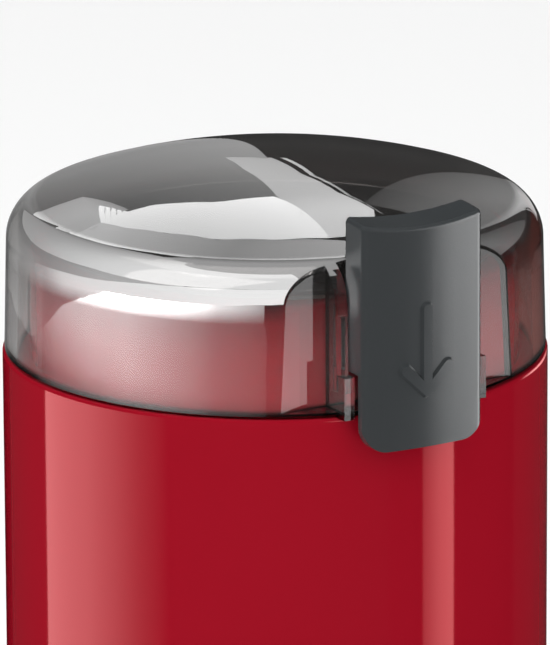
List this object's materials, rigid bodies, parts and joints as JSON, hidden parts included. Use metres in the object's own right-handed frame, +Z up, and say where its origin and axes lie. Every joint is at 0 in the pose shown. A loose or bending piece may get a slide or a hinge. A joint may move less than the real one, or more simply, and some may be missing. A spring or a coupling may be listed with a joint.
{
  "type": "electric coffee grinder",
  "caption": "Round upright electric blade grinder with a clear domed lid, a sliding start button on the lid, a steel bowl and a motor inside.",
  "frame": {"origin": "on the grinder's axis, at the surface that the rubber feet stand on", "axes": "+Z up along the axis of housing, bowl and motor; the start button faces -Y, the cord inlet +Y"},
  "size_m": [0.086, 0.0936, 0.1683],
  "materials": {
    "red_gloss": "gloss moulded plastic",
    "dark_grey": "fine matte",
    "button_grey": "fine satin",
    "smoke_clear": "clear smoke tint, polished",
    "black_rubber": "matte",
    "pale_silicone": "moulded silicone",
    "bowl_steel": "drawn stainless",
    "blade_steel": "ground stainless",
    "shaft_steel": "ground",
    "screw_steel": "zinc plated",
    "sheet_steel": "zinc plated sheet",
    "spring_steel": "drawn wire",
    "cast_alloy": "die cast",
    "bronze": "sintered",
    "brass_sheet": "stamped",
    "copper_wire": "enamelled wire",
    "copper_bar": "turned",
    "lamination": "stacked sheet",
    "brown_resin": "moulded",
    "white_resin": "moulded",
    "switch_case": "moulded",
    "capacitor_case": "moulded",
    "carbon": "pressed"
  },
  "bodies": {
    "body": {"housing": "red_gloss", "base_cover": "dark_grey", "rubber_feet": "black_rubber", "base_screws": "screw_steel", "cord_gland": "black_rubber", "suppression_capacitor": "capacitor_case", "grinding_bowl": "bowl_steel", "bowl_gasket": "pale_silicone", "shaft_seal": "black_rubber", "motor_bracket": "cast_alloy", "motor_dampers": "black_rubber", "bracket_screws": "screw_steel", "upper_bearing": "bronze", "stator_core": "lamination", "field_coils": "copper_wire", "stator_screws": "screw_steel", "lower_bracket": "brown_resin", "lower_bearing": "bronze", "brush_holders": "brass_sheet", "carbon_brushes": "carbon", "brush_springs": "spring_steel", "brush_caps": "brown_resin", "switch_bracket": "sheet_steel", "safety_switch": "switch_case", "switch_terminals": "brass_sheet", "switch_screws": "screw_steel", "return_spring": "spring_steel"},
    "rotor": {"motor_shaft": "shaft_steel", "armature_core": "lamination", "armature_winding": "copper_wire", "commutator": "copper_bar", "shaft_spacer": "brown_resin", "blade_hub": "bowl_steel", "grinding_blade": "blade_steel", "blade_nut": "blade_steel"},
    "lid": {"lid": "smoke_clear"},
    "start_button": {"start_button": "button_grey"},
    "push_rod": {"push_rod": "white_resin", "switch_plunger": "white_resin"}
  },
  "joints": [
    {"name": "rotor_spin", "type": "hinge", "parent": "body", "child": "rotor", "pos_m": [0, 0, 0.1], "axis": [0, 0, 1], "continuous": true},
    {"name": "lid_lift", "type": "slide", "parent": "body", "child": "lid", "axis": [0, 0, 1], "range_m": [0, 0.06]},
    {"name": "button_press", "type": "slide", "parent": "lid", "child": "start_button", "axis": [0, 0, -1], "range_m": [0, 0.0035], "stiffness_N_per_m": 200, "springref_m": -0.003},
    {"name": "rod_slide", "type": "slide", "parent": "body", "child": "push_rod", "axis": [0, 0, -1], "range_m": [0, 0.0035], "stiffness_N_per_m": 300, "springref_m": -0.004, "deforming": ["return_spring"]}
  ],
  "couplings": [
    {"joint": "rod_slide", "follows": "button_press", "ratio": 1}
  ]
}
